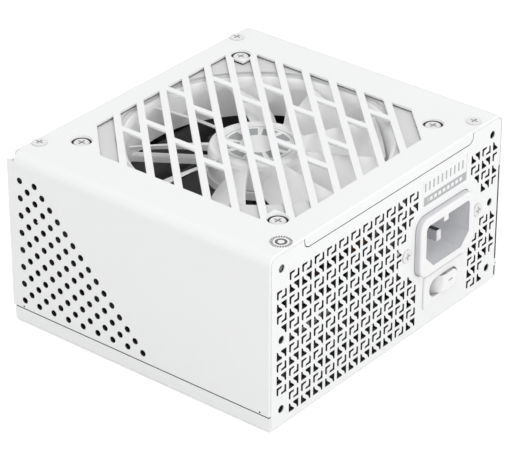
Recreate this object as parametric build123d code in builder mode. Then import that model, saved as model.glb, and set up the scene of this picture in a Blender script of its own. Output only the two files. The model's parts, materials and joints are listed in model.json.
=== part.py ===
"""Compact modular power supply unit, SFX size, with a 92 mm fan in the cover.

Frame: millimetres, +Z up. The origin is the centre of the underside. The mains
panel faces -Y, the output sockets face +Y and the fan looks up through the cover.
"""
from build123d import *
import math
import os

os.makedirs("parts", exist_ok=True)

# ---------------------------------------------------------------- case sizes
case_width = 125.0
case_depth = 110.0
case_height = 63.5
sheet = 0.8
seam_height = 5.7
side_bend = 3.5
front_bend = 2.5
skin_gap = 0.15

half_width = case_width / 2
half_depth = case_depth / 2
plate_under = case_height - sheet
rear_face = -half_depth
rear_inner = rear_face + sheet
front_outer = half_depth - sheet - 0.1
front_inner = front_outer - sheet
wall_inner = half_width - sheet
panel_half = wall_inner - skin_gap
tab_top = plate_under - 0.05

# screw places
cover_screw_x = 51.0
cover_screw_y = 51.0
seal_x = -52.0
seal_y = -51.1
fan_hole_spacing = 82.5
rear_hole_radius = 1.4
rear_hole_spacing_x = 113.0
rear_hole_spacing_z = 51.5

# grille in the cover
grille_half = 45.0
grille_chamfer = 14.5
grille_notch_x = 37.2
grille_notch_y = 36.8
slot_pitch = 11.75
slot_width = 5.8
bridge_width = 2.5
bridge_length = 11.8

# side holes
side_hole_radius = 1.15
side_pitch = 6.52
side_first_y = 49.65
side_first_z = 54.52

# rear vents
cell_pitch_x = 6.25
cell_pitch_z = 4.4
cell_width = 4.9
cell_height = 3.2
field_left = -58.8
field_top = 54.3
right_field_left = 44.6

# mains inlet and switch
inlet_x = 29.2
inlet_z = 32.0
inlet_ear = 20.0
inlet_rim = 2.3
switch_x = 30.1
switch_z = 12.9
bezel_step = 0.5
rocker_axis_y = -53.5
rocker_tilt = 16.0
rocker_proud = 1.5

# fan
fan_size = 92.0
fan_thick = 15.0
dimple_depth = 1.6
fan_top = plate_under - 0.45
fan_floor = fan_top - fan_thick
throat_radius = 43.6
bell_radius = 47.1
bell_side = 44.9
tip_radius = 42.8
hub_radius = 16.8
hub_top = fan_top - 2.75
blade_count = 9

# main board
board_under = 5.0
board_thick = 1.6
board_top = board_under + board_thick
board_left = -58.0
board_right = 58.0
board_rear = -38.0
board_front = 42.0

# output sockets: x, z and number of contact columns
socket_places = [
    (-31.2, 17.5, 9),
    (12.0, 17.5, 5),
    (45.0, 17.5, 4),
    (-42.0, 37.5, 4),
    (-14.0, 37.5, 4),
    (14.0, 37.5, 4),
    (42.0, 37.5, 3),
]


# ---------------------------------------------------------------- helpers
def side_hole_places():
    """Places (y, z) of the triangular field of holes in the left side."""
    places = []
    for row in range(8):
        for step in range(row + 2):
            places.append((side_first_y - side_pitch * step, side_first_z - side_pitch * row))
    for row in range(7):
        for step in range(row + 2):
            y = side_first_y - side_pitch * (step + 0.5)
            z = side_first_z - side_pitch * (row + 0.5)
            places.append((y, z))
    return places


def vent_openings(symbol):
    """Openings of one vent cell: brackets for A, triangles for B, halves otherwise."""
    w = cell_width
    h = cell_height
    bracket = [(0, h), (2.75, h), (2.45, h - 0.8), (1.3, h - 0.8), (0.9, h - 1.15)]
    bracket += [(0.9, 0.55), (0.72, 0.05), (0, 0.7)]
    triangle = [(0, h), (0.65, h), (1.05, h - 1.2), (1.75, h - 1.85), (2.75, 0.5)]
    triangle += [(2.6, 0), (0, 0)]
    turned_bracket = [(w - x, h - z) for x, z in bracket]
    turned_triangle = [(w - x, h - z) for x, z in triangle]
    openings = {
        "A": [bracket, turned_bracket],
        "B": [triangle, turned_triangle],
        "k": [bracket],
        "j": [turned_bracket],
        "l": [triangle],
        "u": [turned_triangle],
        ".": [],
    }
    return openings[symbol]


def vent_polygons(field, left):
    """Corner lists of every opening of a vent field, in the panel's x and z."""
    polygons = []
    for row, line in enumerate(field):
        bottom = field_top - cell_pitch_z * row - cell_height
        for column, symbol in enumerate(line):
            x = left + cell_pitch_x * column
            for opening in vent_openings(symbol):
                polygons.append([(x + px, bottom + pz) for px, pz in opening])
    return polygons


left_field = [
    ".AAAAAAAAABA",
    "ABBBBBBBBBAB",
    "BAAAAAAAAABk",
    "ABBBBBBBBBA.",
    "uAAAAAAAAAl.",
    ".BBBBBBBBBk.",
    "BAAAAAAAAAl.",
    "ABBBBBBBBBAl",
    "BAAAAAAAAABA",
    "ABBBBBBBBBAB",
    ".AAAAAAAAABA",
    ".BBBBBBBBBAB",
]
right_field = [
    "BAl",
    "ABk",
    "uAl",
    ".Bk",
    "...",
    "...",
    ".Al",
    "jBk",
    "BAl",
    "ABk",
    "Bk.",
    "Al.",
]

# bridges across each diagonal slot, counted from the middle slot: x of each bridge
grille_bridges = {
    5: [-26.3],
    4: [-17.7],
    3: [-21.7, 5.3],
    2: [-26.0, 0.3],
    1: [-12.0, 21.0],
    0: [-14.0, 16.0],
    -1: [-0.7, 27.7],
    -2: [-4.3, 21.3],
    -3: [10.3, 31.3],
    -4: [26.0],
    -5: [35.3],
}

rear_plane = Plane.XZ.offset(half_depth)

# ---------------------------------------------------------------- tray
with BuildPart() as base_chassis:
    # floor with joggled side lips
    with BuildSketch(Plane.XZ.offset(-front_outer)):
        with BuildLine():
            Polyline(
                (0, 0),
                (half_width, 0),
                (half_width, seam_height - 0.35),
                (wall_inner - 0.05, seam_height - 0.35),
                (wall_inner - 0.05, 7.5),
                (wall_inner - 0.85, 7.5),
                (wall_inner - 0.85, seam_height - 1.0),
                (wall_inner, seam_height - 1.0),
                (wall_inner, sheet),
                (0, sheet),
                close=True,
            )
        make_face()
        mirror(about=Plane.YZ)
    extrude(amount=front_outer + half_depth)
    long_edges = base_chassis.edges().filter_by(Axis.Y).group_by(Axis.Z)[0].sort_by(Axis.X)
    fillet([long_edges[0], long_edges[-1]], radius=0.7)
    # rear panel, notched at the top for the cover's tongue
    with BuildSketch(rear_plane):
        with Locations((0, tab_top / 2)):
            Rectangle(2 * panel_half, tab_top)
        fillet(vertices().group_by(Axis.Y)[-1], radius=2.6)
        with BuildSketch(mode=Mode.PRIVATE) as tongue_notch:
            with Locations((0, 64.1)):
                RectangleRounded(90.6, 10.0, 2.5)
        add(tongue_notch.sketch, mode=Mode.SUBTRACT)
        # relief along the lower right edge
        with Locations((panel_half, 22.6)):
            Rectangle(1.1, 43.0, mode=Mode.SUBTRACT)
    extrude(amount=-sheet)
    # front panel
    with BuildSketch(Plane.XZ.offset(-front_outer)):
        with Locations((0, 30.3)):
            Rectangle(2 * panel_half, 60.6)
    extrude(amount=sheet)
    # threaded tabs for the cover screws
    for side in (-1, 1):
        with BuildSketch(Plane.YZ.offset(side * cover_screw_x - 5.0)):
            with BuildLine():
                Polyline(
                    (rear_face + 0.01, tab_top - 4.0),
                    (rear_face + 0.01, tab_top),
                    (-46.0, tab_top),
                    (-46.0, tab_top - sheet),
                    (rear_inner, tab_top - sheet),
                    (rear_inner, tab_top - 4.0),
                    close=True,
                )
            make_face()
            with BuildLine():
                Polyline(
                    (front_outer, 58.0),
                    (front_outer, tab_top - 1.9),
                    (front_outer - 0.557, tab_top - 0.557),
                    (front_outer - 1.9, tab_top),
                    (46.0, tab_top),
                    (46.0, tab_top - sheet),
                    (front_inner - 1.1, tab_top - sheet),
                    (front_inner - 0.323, tab_top - sheet - 0.323),
                    (front_inner, tab_top - sheet - 1.1),
                    (front_inner, 58.0),
                    close=True,
                )
            make_face()
        extrude(amount=10.0)
    with Locations(Plane.XY.offset(tab_top - sheet - 0.9)):
        with GridLocations(2 * cover_screw_x, 2 * cover_screw_y, 2, 2):
            Cylinder(2.2, 0.9, align=(Align.CENTER, Align.CENTER, Align.MIN))
    with BuildSketch(Plane.XY.offset(tab_top + 0.2)):
        with GridLocations(2 * cover_screw_x, 2 * cover_screw_y, 2, 2):
            Circle(1.53)
    extrude(amount=-4.0, mode=Mode.SUBTRACT)
    # stiffening flanges of the two panels
    with Locations((-panel_half + sheet / 2, rear_face + 4.0, 34.0),
                   (panel_half - 1.0 - sheet / 2, rear_face + 4.0, 34.0)):
        Box(sheet, 8.0, 50.0)
    for side in (-1, 1):
        with Locations((side * (panel_half - sheet / 2), front_outer - 2.0, 34.0)):
            Box(sheet, 4.0, 50.0)
    # rear vents
    with BuildSketch(rear_plane):
        vents = vent_polygons(left_field, field_left)
        vents += vent_polygons(right_field, right_field_left)
        add([Polygon(*corners, align=None, mode=Mode.PRIVATE) for corners in vents])
    extrude(amount=-sheet, mode=Mode.SUBTRACT)
    # mounting holes, inlet opening, switch opening
    with BuildSketch(rear_plane):
        with Locations((0, case_height / 2)):
            with GridLocations(rear_hole_spacing_x, rear_hole_spacing_z / 2, 2, 3):
                Circle(rear_hole_radius)
        with Locations((inlet_x, inlet_z)):
            RectangleRounded(31.0, 22.9, 4.6)
            with GridLocations(2 * inlet_ear, 1, 2, 1):
                Circle(1.6)
        with Locations((switch_x, switch_z)):
            RectangleRounded(19.4, 10.6, 0.8)
    extrude(amount=-12.0, mode=Mode.SUBTRACT)
    # windows for the output sockets
    with BuildSketch(Plane.XZ.offset(-front_outer)):
        for x, z, columns in socket_places:
            with Locations((x, z + 0.7)):
                Rectangle(4.2 * columns + 2.0, 12.4)
    extrude(amount=sheet, mode=Mode.SUBTRACT)
    # round bosses pressed into the floor for the standoffs, and the earth screw hole
    with BuildSketch():
        with GridLocations(106.0, 72.0, 2, 2):
            Circle(1.55)
        with Locations((2.0, -47.0)):
            Circle(1.55)
    extrude(amount=sheet, mode=Mode.SUBTRACT)

# ---------------------------------------------------------------- cover
with BuildPart() as top_cover:
    # folded channel: top plate and two sides
    with BuildSketch(Plane.XZ.offset(-half_depth)):
        with Locations((0, seam_height)):
            Rectangle(case_width, case_height - seam_height, align=(Align.CENTER, Align.MIN))
        fillet(vertices().group_by(Axis.Y)[-1], radius=side_bend)
        with BuildSketch(mode=Mode.PRIVATE) as channel_inside:
            with Locations((0, seam_height - 1)):
                Rectangle(2 * wall_inner, plate_under - seam_height + 1,
                          align=(Align.CENTER, Align.MIN))
            fillet(vertices().group_by(Axis.Y)[-1], radius=side_bend - sheet)
        add(channel_inside.sketch, mode=Mode.SUBTRACT)
    extrude(amount=case_depth)
    # front tongue, folded down between two relief slits
    with Locations((0, half_depth, case_height)):
        Box(117.8, 2 * front_bend, 4.0, mode=Mode.SUBTRACT)
    with BuildSketch(Plane.YZ.offset(-58.6)):
        with BuildLine():
            Line((half_depth - front_bend, case_height), (half_depth - front_bend, plate_under))
            RadiusArc((half_depth - front_bend, plate_under),
                      (half_depth - sheet, case_height - front_bend), front_bend - sheet)
            Line((half_depth - sheet, case_height - front_bend), (half_depth - sheet, 55.7))
            Line((half_depth - sheet, 55.7), (half_depth, 55.7))
            Line((half_depth, 55.7), (half_depth, case_height - front_bend))
            RadiusArc((half_depth, case_height - front_bend),
                      (half_depth - front_bend, case_height), -front_bend)
        make_face()
    extrude(amount=117.2)
    # clipped corners at the ends of the fold
    with BuildSketch(Plane.XY.offset(case_height)):
        for side in (-1, 1):
            Polygon((side * 58.8, half_depth + 0.1), (side * (half_width + 0.1), half_depth + 0.1),
                    (side * (half_width + 0.1), half_depth - 3.0),
                    (side * 58.8, half_depth - 2.1), align=None)
    extrude(amount=-2.8, mode=Mode.SUBTRACT)
    # rear tongue, flush with the rear panel
    with BuildSketch(rear_plane):
        with Locations((0, 64.4)):
            RectangleRounded(90.0, 10.0, 2.3)
        with Locations((0, plate_under + 5.0)):
            Rectangle(100.0, 10.0, mode=Mode.SUBTRACT)
    extrude(amount=-sheet)
    rear_edge = top_cover.edges().filter_by(Axis.X).group_by(Axis.Y)[0].sort_by(Axis.Z)[-1]
    fillet(rear_edge, radius=0.5)
    # triangular field of side holes
    with BuildSketch(Plane.YZ.offset(-half_width)):
        with Locations(*side_hole_places()):
            Circle(side_hole_radius)
    extrude(amount=sheet, mode=Mode.SUBTRACT)
    # diagonal slots of the fan grille
    with BuildSketch(Plane.XY.offset(plate_under)):
        for step in range(-6, 7):
            shift = slot_pitch * step / 2
            with Locations(Location((-shift, shift), 45)):
                Rectangle(150.0, slot_width)
        with BuildSketch(mode=Mode.PRIVATE) as grille_outline:
            with BuildLine():
                Polyline(
                    (-grille_half, -grille_notch_y),
                    (-grille_notch_x, -grille_notch_y),
                    (-grille_notch_x, -grille_half),
                    (grille_half - grille_chamfer, -grille_half),
                    (grille_half, grille_chamfer - grille_half),
                    (grille_half, grille_notch_y),
                    (grille_notch_x, grille_notch_y),
                    (grille_notch_x, grille_half),
                    (grille_chamfer - grille_half, grille_half),
                    (-grille_half, grille_half - grille_chamfer),
                    close=True,
                )
            make_face()
        add(grille_outline.sketch, mode=Mode.INTERSECT)
        for step, bridge_places in grille_bridges.items():
            for x in bridge_places:
                with Locations((x, x + slot_pitch * step)):
                    Rectangle(bridge_width, bridge_length, mode=Mode.SUBTRACT)
    extrude(amount=sheet, mode=Mode.SUBTRACT)
    # dimples that seat the fan screws
    with Locations(Plane.XY.offset(plate_under - dimple_depth)):
        with GridLocations(fan_hole_spacing, fan_hole_spacing, 2, 2):
            Cylinder(4.0, dimple_depth + 0.1, align=(Align.CENTER, Align.CENTER, Align.MIN))
    with Locations(Plane.XY.offset(plate_under - dimple_depth + sheet)):
        with GridLocations(fan_hole_spacing, fan_hole_spacing, 2, 2):
            Cone(3.1, 3.7, dimple_depth, align=(Align.CENTER, Align.CENTER, Align.MIN),
                 mode=Mode.SUBTRACT)
    with BuildSketch(Plane.XY.offset(plate_under - dimple_depth)):
        with GridLocations(fan_hole_spacing, fan_hole_spacing, 2, 2):
            Circle(2.25)
    extrude(amount=dimple_depth, mode=Mode.SUBTRACT)
    # holes for the cover screws
    with BuildSketch(Plane.XY.offset(plate_under)):
        with GridLocations(2 * cover_screw_x, 2 * cover_screw_y, 2, 2):
            Circle(1.7)
    extrude(amount=sheet, mode=Mode.SUBTRACT)
    # sunk seats for their heads
    with Locations(Plane.XY.offset(case_height - 0.55)):
        with GridLocations(2 * cover_screw_x, 2 * cover_screw_y, 2, 2):
            Cone(1.7, 2.8, 0.56, align=(Align.CENTER, Align.CENTER, Align.MIN),
                 mode=Mode.SUBTRACT)
    # small relief dots at the ends of the seam
    with BuildSketch(Plane.YZ.offset(-half_width)):
        with Locations((50.3, 6.3), (-51.2, 6.3)):
            Circle(0.35)
    extrude(amount=sheet, mode=Mode.SUBTRACT)

# ---------------------------------------------------------------- case screws and seal
screw_places = [(cover_screw_x, cover_screw_y), (-cover_screw_x, cover_screw_y),
                (cover_screw_x, -cover_screw_y)]
with BuildPart() as cover_screws:
    # low raised heads of the three open screws
    with BuildSketch(Plane.XY.offset(case_height - 0.08)):
        with Locations(*screw_places):
            Circle(2.6)
    extrude(amount=0.4)
    fillet(cover_screws.edges().group_by(Axis.Z)[-1], radius=0.3)
    with BuildSketch(Plane.XY.offset(case_height - 0.05)):
        with Locations(*screw_places):
            Rectangle(2.7, 0.55)
            Rectangle(0.55, 2.7)
    extrude(amount=0.6, mode=Mode.SUBTRACT)
    # countersunk part and thread of all four
    with Locations(Plane.XY.offset(case_height - 0.5)):
        with GridLocations(2 * cover_screw_x, 2 * cover_screw_y, 2, 2):
            Cone(1.68, 2.6, 0.43, align=(Align.CENTER, Align.CENTER, Align.MIN))
    with Locations(Plane.XY.offset(case_height - 5.0)):
        with GridLocations(2 * cover_screw_x, 2 * cover_screw_y, 2, 2):
            Cylinder(1.5, 4.6, align=(Align.CENTER, Align.CENTER, Align.MIN))

with BuildPart() as seal_disc:
    with BuildSketch(Plane.XY.offset(case_height)):
        with Locations((seal_x, seal_y)):
            Circle(3.75)
    extrude(amount=0.12)

with BuildPart() as fan_screws:
    seat = plate_under - dimple_depth + sheet
    with BuildSketch(Plane.XY.offset(seat)):
        with GridLocations(fan_hole_spacing, fan_hole_spacing, 2, 2):
            Circle(2.75)
    extrude(amount=1.0)
    fillet(fan_screws.edges().group_by(Axis.Z)[-1], radius=0.5)
    with BuildSketch(Plane.XY.offset(seat + 0.4)):
        with GridLocations(fan_hole_spacing, fan_hole_spacing, 2, 2):
            Rectangle(3.0, 0.55)
            Rectangle(0.55, 3.0)
    extrude(amount=0.7, mode=Mode.SUBTRACT)
    with BuildSketch(Plane.XY.offset(seat)):
        with GridLocations(fan_hole_spacing, fan_hole_spacing, 2, 2):
            Circle(2.05)
    extrude(amount=-8.0)

with BuildPart() as inlet_label:
    with BuildSketch(rear_plane):
        with Locations((29.8, 51.6)):
            RectangleRounded(25.0, 10.4, 0.6)
    extrude(amount=0.08)

with BuildPart() as rating_label:
    with BuildSketch(Plane.YZ.offset(half_width)):
        with Locations((0, 32.0)):
            RectangleRounded(92.0, 42.0, 1.5)
    extrude(amount=0.1)

# ---------------------------------------------------------------- fan
with BuildPart() as bell_space:
    with BuildSketch(Plane.XZ):
        with BuildLine():
            Line((0, fan_floor - 1), (throat_radius, fan_floor - 1))
            Line((throat_radius, fan_floor - 1), (throat_radius, fan_top - 4.5))
            ThreePointArc(
                (throat_radius, fan_top - 4.5),
                (throat_radius + 0.9, fan_top - 2.0),
                (bell_radius - 0.6, fan_top - 0.7),
            )
            Line((bell_radius - 0.6, fan_top - 0.7), (bell_radius, fan_top - 0.7))
            Line((bell_radius, fan_top - 0.7), (bell_radius, fan_top + 0.01))
            Line((bell_radius, fan_top + 0.01), (0, fan_top + 0.01))
            Line((0, fan_top + 0.01), (0, fan_floor - 1))
        make_face()
    revolve(axis=Axis.Z)
    with Locations((0, 0, fan_top - fan_thick / 2)):
        Box(2 * bell_side, 2 * bell_side, fan_thick + 4, mode=Mode.INTERSECT)

with BuildPart() as fan_frame:
    with BuildSketch(Plane.XY.offset(fan_floor)):
        RectangleRounded(fan_size, fan_size, 4.0)
    extrude(amount=fan_thick)
    with BuildSketch(Plane.XY.offset(fan_floor + 3.0)):
        Rectangle(fan_size + 1, fan_size + 1)
        Circle(45.6, mode=Mode.SUBTRACT)
    extrude(amount=fan_thick - 6.0, mode=Mode.SUBTRACT)
    add(bell_space.part, mode=Mode.SUBTRACT)
    with BuildSketch(Plane.XY.offset(fan_floor)):
        with GridLocations(fan_hole_spacing, fan_hole_spacing, 2, 2):
            Circle(2.15)
    extrude(amount=fan_thick, mode=Mode.SUBTRACT)
    # corners stepped down under the cover's dimples
    with Locations(Plane.XY.offset(plate_under - dimple_depth - 0.05)):
        with GridLocations(fan_hole_spacing + 1.5, fan_hole_spacing + 1.5, 2, 2):
            Box(9.7, 9.7, 5.0, align=(Align.CENTER, Align.CENTER, Align.MIN),
                mode=Mode.SUBTRACT)
    # motor base on four curved struts
    with BuildSketch(Plane.XY.offset(fan_floor)):
        Circle(17.5)
        with PolarLocations(0, 4, start_angle=20):
            with Locations(Location((30.5, 0), 14)):
                Rectangle(29.0, 3.2)
    extrude(amount=2.0)
    with BuildSketch(Plane.XY.offset(fan_floor + 2.0)):
        Circle(17.5)
        Circle(16.3, mode=Mode.SUBTRACT)
    extrude(amount=0.7)
    # bearing tube
    with BuildSketch(Plane.XY.offset(fan_floor + 2.0)):
        Circle(4.4)
    extrude(amount=6.2)
    with BuildSketch(Plane.XY.offset(fan_floor + 1.0)):
        Circle(3.0)
    extrude(amount=10.0, mode=Mode.SUBTRACT)

with BuildPart() as blade:
    for distance, lead, trail, lead_z, trail_z, bulge, edge in (
        (13.0, 3.2, -4.4, hub_top - 1.0, fan_floor + 4.2, 0.35, 0.8),
        (29.0, 9.2, -3.4, hub_top - 0.4, fan_floor + 4.0, 0.35, 0.6),
        (46.0, 17.4, 2.6, hub_top + 0.2, fan_floor + 3.8, 0.35, 0.4),
    ):
        mid = (lead + trail) / 2
        mid_z = (lead_z + trail_z) / 2 + bulge
        with BuildSketch(Plane(origin=(distance, 0, 0), x_dir=(0, 1, 0), z_dir=(1, 0, 0))):
            with BuildLine():
                ThreePointArc((trail, trail_z), (mid, mid_z - 0.55), (lead, lead_z))
                Line((lead, lead_z), (lead - edge * 0.3, lead_z + edge))
                ThreePointArc(
                    (lead - edge * 0.3, lead_z + edge),
                    (mid - 0.3, mid_z + 0.55),
                    (trail - edge * 0.5, trail_z + edge),
                )
                Line((trail - edge * 0.5, trail_z + edge), (trail, trail_z))
            make_face()
    loft()
    with Locations((0, 0, fan_floor)):
        Cylinder(tip_radius, 40.0, mode=Mode.INTERSECT)
        Cylinder(hub_radius - 0.6, 40.0, mode=Mode.SUBTRACT)

with BuildPart() as fan_rotor:
    with BuildSketch(Plane.XZ):
        with BuildLine():
            Polyline(
                (0, hub_top - 0.5),
                (hub_radius - 3.6, hub_top - 0.5),
                (hub_radius - 3.4, hub_top - 0.05),
                (hub_radius - 3.1, hub_top),
                (hub_radius - 1.9, hub_top),
                (hub_radius - 0.6, hub_top - 0.5),
                (hub_radius, hub_top - 1.9),
                (hub_radius, fan_floor + 3.2),
                (hub_radius - 1.3, fan_floor + 3.2),
                (hub_radius - 1.3, hub_top - 1.8),
                (2.6, hub_top - 1.8),
                (2.6, hub_top - 3.2),
                (1.5, hub_top - 3.2),
                (1.5, hub_top - 1.2),
                (0, hub_top - 1.2),
                close=True,
            )
        make_face()
    revolve(axis=Axis.Z)
    with PolarLocations(0, blade_count, start_angle=-6.0):
        add(blade.part)

with BuildPart() as hub_sticker:
    with BuildSketch(Plane.XY.offset(hub_top - 0.5)):
        Circle(12.6)
    extrude(amount=0.12)

with BuildPart() as rotor_magnet:
    with BuildSketch(Plane.XY.offset(fan_floor + 3.6)):
        Circle(hub_radius - 1.3)
        Circle(hub_radius - 3.0, mode=Mode.SUBTRACT)
    extrude(amount=5.6)

with BuildPart() as fan_shaft:
    with BuildSketch(Plane.XY.offset(fan_floor + 1.3)):
        Circle(1.5)
    extrude(amount=hub_top - 1.2 - fan_floor - 1.3)
    with Locations((0, 0, fan_floor + 1.9)):
        Torus(1.75, 0.35, mode=Mode.SUBTRACT)

with BuildPart() as retaining_clip:
    with BuildSketch(Plane.XY.offset(fan_floor + 1.72)):
        Circle(2.6)
        Circle(1.45, mode=Mode.SUBTRACT)
        with Locations((2.0, 0)):
            Rectangle(2.4, 0.7, mode=Mode.SUBTRACT)
    extrude(amount=0.36)

with BuildPart() as fan_bearing:
    with BuildSketch(Plane.XY.offset(fan_floor + 2.6)):
        Circle(2.99)
        Circle(1.56, mode=Mode.SUBTRACT)
    extrude(amount=5.4)
    chamfer(fan_bearing.edges().group_by(Axis.Z)[-1], length=0.3)

with BuildPart() as stator_core:
    with BuildSketch(Plane.XY.offset(fan_floor + 5.2)):
        Circle(6.2)
        with PolarLocations(0, 4):
            with Locations((7.5, 0)):
                Rectangle(9.0, 2.6)
        with BuildSketch(mode=Mode.PRIVATE) as pole_ring:
            Circle(12.9)
            Circle(11.3, mode=Mode.SUBTRACT)
            with PolarLocations(0, 4, start_angle=45):
                with Locations((12.0, 0)):
                    Rectangle(4.0, 3.4, mode=Mode.SUBTRACT)
        add(pole_ring.sketch)
        Circle(4.45, mode=Mode.SUBTRACT)
    extrude(amount=3.6)

with BuildPart() as stator_coils:
    with BuildSketch(Plane.YZ.offset(6.8)):
        with Locations((0, fan_floor + 7.0)):
            RectangleRounded(5.4, 6.2, 1.2)
            Rectangle(2.64, 3.64, mode=Mode.SUBTRACT)
    extrude(amount=3.9)
    with PolarLocations(0, 3, start_angle=90, angular_range=180, endpoint=True):
        add(stator_coils.part.solids()[0])

with BuildPart() as fan_circuit_board:
    with BuildSketch(Plane.XY.offset(fan_floor + 2.05)):
        Circle(15.0)
        Circle(4.6, mode=Mode.SUBTRACT)
    extrude(amount=0.8)
    with Locations((9.0, 3.0, fan_floor + 2.85)):
        Box(3.6, 2.4, 0.5, align=(Align.CENTER, Align.CENTER, Align.MIN))
    with Locations((-7.0, -5.5, fan_floor + 2.85)):
        Box(1.6, 1.0, 0.45, align=(Align.CENTER, Align.CENTER, Align.MIN))
        with Locations((3.5, -3.0, 0)):
            Box(1.6, 1.0, 0.45, align=(Align.CENTER, Align.CENTER, Align.MIN))

# ---------------------------------------------------------------- mains inlet
with BuildPart() as inlet_housing:
    with BuildSketch(rear_plane):
        with Locations((inlet_x, inlet_z)):
            with BuildSketch(mode=Mode.PRIVATE) as rim:
                RectangleRounded(30.7, 22.5, 4.5)
            add(rim.sketch)
    extrude(amount=inlet_rim)
    fillet(inlet_housing.faces().sort_by(Axis.Y)[0].edges(), radius=0.8)
    with BuildSketch(rear_plane):
        with Locations((inlet_x, inlet_z)):
            RectangleRounded(30.7, 22.5, 4.5)
    extrude(amount=-(sheet + 0.1))
    # mounting flange with pointed ears, behind the panel
    with BuildSketch(Plane.XZ.offset(-rear_inner - 0.05)):
        with Locations((inlet_x, inlet_z)):
            RectangleRounded(33.0, 25.0, 3.0)
            Polygon((-25.0, 3.2), (-16.0, 9.0), (16.0, 9.0), (25.0, 3.2), (25.0, -3.2),
                    (16.0, -9.0), (-16.0, -9.0), (-25.0, -3.2), align=None)
    extrude(amount=-3.0)
    # body behind the flange
    with BuildSketch(Plane.XZ.offset(-rear_inner - 3.0)):
        with Locations((inlet_x, inlet_z)):
            RectangleRounded(28.4, 20.4, 2.0)
    extrude(amount=-14.0)
    # recess for the cord connector
    with BuildSketch(rear_plane.offset(inlet_rim)):
        with Locations((inlet_x, inlet_z)):
            Polygon((-12.15, 8.15), (12.15, 8.15), (12.15, -3.75), (7.75, -8.15),
                    (-7.75, -8.15), (-12.15, -3.75), align=None)
        fillet(vertices().group_by(Axis.Y)[-1], radius=1.6)
        fillet(vertices().group_by(Axis.Y)[0], radius=0.6)
        # keying rib at the top of the recess
        with Locations((inlet_x - 1.3, inlet_z + 7.2)):
            Rectangle(2.5, 2.2, mode=Mode.SUBTRACT)
    extrude(amount=-inlet_rim - 16.0, mode=Mode.SUBTRACT)
    # slots for the blades and clearance holes in the ears
    with BuildSketch(rear_plane):
        with Locations((inlet_x, inlet_z - 1.5)):
            Rectangle(2.02, 4.02)
        with Locations((inlet_x - 7.0, inlet_z + 2.5), (inlet_x + 7.0, inlet_z + 2.5)):
            Rectangle(2.02, 4.02)
        with Locations((inlet_x - inlet_ear, inlet_z), (inlet_x + inlet_ear, inlet_z)):
            Circle(1.55)
    extrude(amount=-30.0, mode=Mode.SUBTRACT)

with BuildPart() as inlet_pins:
    with BuildSketch(rear_plane.offset(-1.0)):
        with Locations((inlet_x, inlet_z - 1.5)):
            Rectangle(2.0, 4.0)
    extrude(amount=-22.0)
    with BuildSketch(rear_plane.offset(-3.2)):
        with Locations((inlet_x - 7.0, inlet_z + 2.5), (inlet_x + 7.0, inlet_z + 2.5)):
            Rectangle(2.0, 4.0)
    extrude(amount=-19.8)
    chamfer(inlet_pins.faces().sort_by(Axis.Y)[0].edges(), length=0.5)
    # solder tabs with a round eye
    with BuildSketch(Plane.YZ.offset(inlet_x - 0.4)):
        with Locations((-30.0, inlet_z - 1.5)):
            RectangleRounded(7.0, 3.6, 1.0)
            with Locations((1.6, 0)):
                Circle(0.8, mode=Mode.SUBTRACT)
    extrude(amount=0.8)
    for side in (-1, 1):
        with BuildSketch(Plane.YZ.offset(inlet_x + 7.0 * side - 0.4)):
            with Locations((-30.0, inlet_z + 2.5)):
                RectangleRounded(7.0, 3.6, 1.0)
                with Locations((1.6, 0)):
                    Circle(0.8, mode=Mode.SUBTRACT)
        extrude(amount=0.8)

with BuildPart() as inlet_screws:
    with BuildSketch(rear_plane):
        with Locations((inlet_x, inlet_z)):
            with GridLocations(2 * inlet_ear, 1, 2, 1):
                Circle(2.45)
    extrude(amount=0.5)
    fillet(inlet_screws.edges().group_by(Axis.Y)[0], radius=0.3)
    with BuildSketch(rear_plane.offset(0.2)):
        with Locations((inlet_x, inlet_z)):
            with GridLocations(2 * inlet_ear, 1, 2, 1):
                Rectangle(2.6, 0.5)
                Rectangle(0.5, 2.6)
    extrude(amount=0.5, mode=Mode.SUBTRACT)
    with BuildSketch(rear_plane):
        with Locations((inlet_x, inlet_z)):
            with GridLocations(2 * inlet_ear, 1, 2, 1):
                Circle(1.5)
    extrude(amount=-7.0)
    with BuildSketch(rear_plane.offset(-4.2)):
        with Locations((inlet_x, inlet_z)):
            with GridLocations(2 * inlet_ear, 1, 2, 1):
                RegularPolygon(3.0, 6)
    extrude(amount=-2.0)

# ---------------------------------------------------------------- power switch
with BuildPart() as switch_housing:
    with BuildSketch(rear_plane):
        with Locations((switch_x, switch_z)):
            RectangleRounded(22.4, 12.4, 1.0)
    extrude(amount=bezel_step)
    chamfer(switch_housing.faces().sort_by(Axis.Y)[0].edges(), length=0.3)
    with BuildSketch(rear_plane):
        with Locations((switch_x, switch_z)):
            RectangleRounded(19.2, 10.4, 0.8)
    extrude(amount=-14.0)
    # snap wings behind the panel
    with BuildSketch(Plane.XY.offset(switch_z - 2.5)):
        for side in (-1, 1):
            with Locations((switch_x, 0)):
                Polygon((side * 9.5, rear_inner + 0.1), (side * 10.5, rear_inner + 0.1),
                        (side * 9.5, rear_inner + 4.0), align=None)
    extrude(amount=5.0)
    with BuildSketch(rear_plane.offset(1.5)):
        with Locations((switch_x, switch_z)):
            SlotOverall(15.9, 6.9)
    extrude(amount=-12.0, mode=Mode.SUBTRACT)
    with Locations(Plane(origin=(switch_x, rocker_axis_y, switch_z))):
        Cylinder(1.15, 9.2, mode=Mode.SUBTRACT)

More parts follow.
